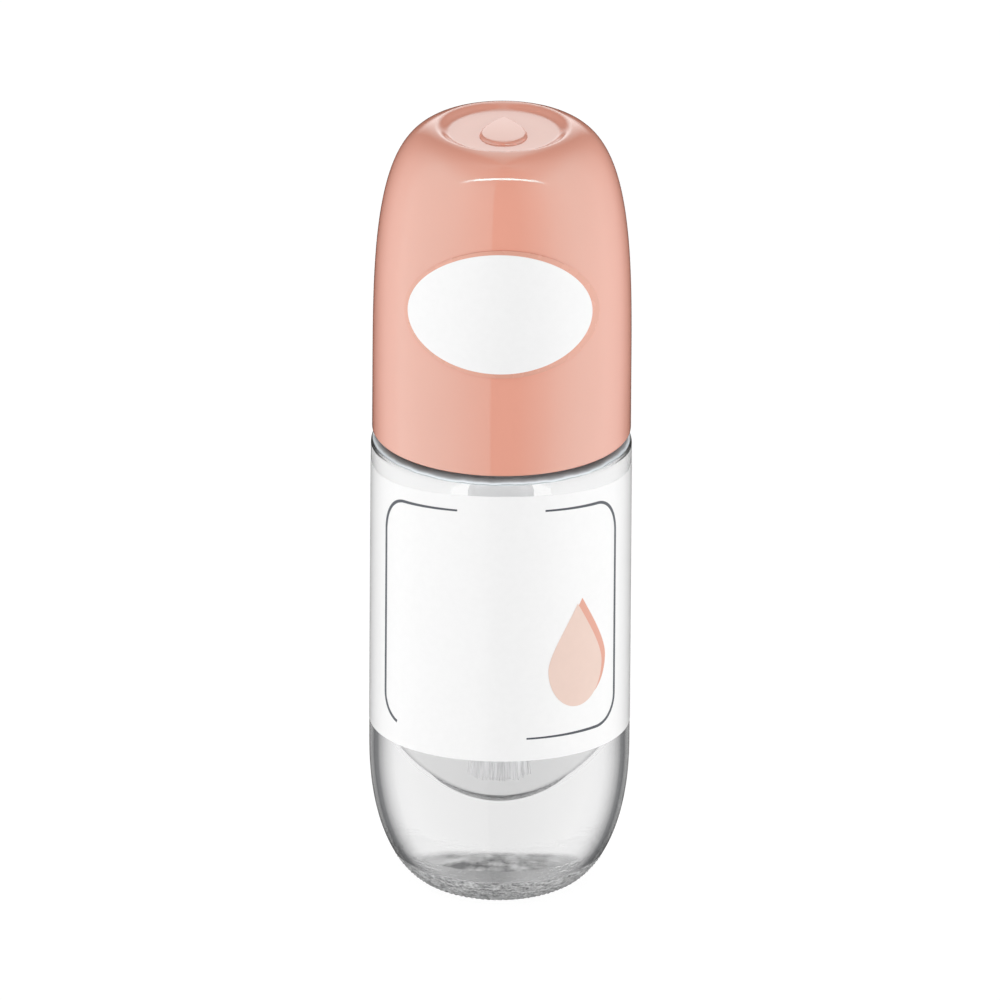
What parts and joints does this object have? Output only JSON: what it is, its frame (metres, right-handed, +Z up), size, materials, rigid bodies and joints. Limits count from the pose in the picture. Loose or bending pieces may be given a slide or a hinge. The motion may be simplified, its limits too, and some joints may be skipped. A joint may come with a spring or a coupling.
{
  "type": "cuticle oil bottle",
  "caption": "Small thick-walled round-based glass bottle of oil with a wrap-round label and a screw-on domed cap that carries a brush on a long stem.",
  "frame": {"origin": "centre of the ring that the glass stands on", "axes": "+Z up along the bottle's axis, -Y towards the front of the label and of the cap's oval"},
  "size_m": [0.0252, 0.0251, 0.0773],
  "materials": {
    "clear_glass": "clear, fire-polished",
    "white_film": "satin white film",
    "peach_gloss": "glossy peach",
    "oval_film": "smooth white film",
    "white_plastic": "moulded, satin",
    "soft_liner": "soft foamed liner",
    "frosted_stem": "translucent, moulded",
    "bristle": "drawn nylon",
    "staple_metal": "rolled"
  },
  "bodies": {
    "bottle": {"glass_bottle": "clear_glass", "label_wrap": "white_film"},
    "liner": {"seal_washer": "soft_liner"},
    "brush": {"brush_stem": "frosted_stem"},
    "cap": {"overcap": "peach_gloss", "cap_sticker": "oval_film", "inner_cap": "white_plastic", "bristle_tuft": "bristle", "tuft_staple": "staple_metal"}
  },
  "joints": [
    {"name": "brush_draw", "type": "slide", "parent": "bottle", "child": "liner", "axis": [0, 0, 1], "range_m": [0, 0.05]},
    {"name": "thread_rise", "type": "slide", "parent": "liner", "child": "brush", "axis": [0, 0, 1], "range_m": [0, 0.00424]},
    {"name": "cap_turn", "type": "hinge", "parent": "brush", "child": "cap", "pos_m": [0, 0, 0.04623], "axis": [0, 0, 1], "range_deg": [0, 720]}
  ],
  "couplings": [
    {"joint": "thread_rise", "follows": "cap_turn", "m_per_rad": 0.00033741}
  ]
}
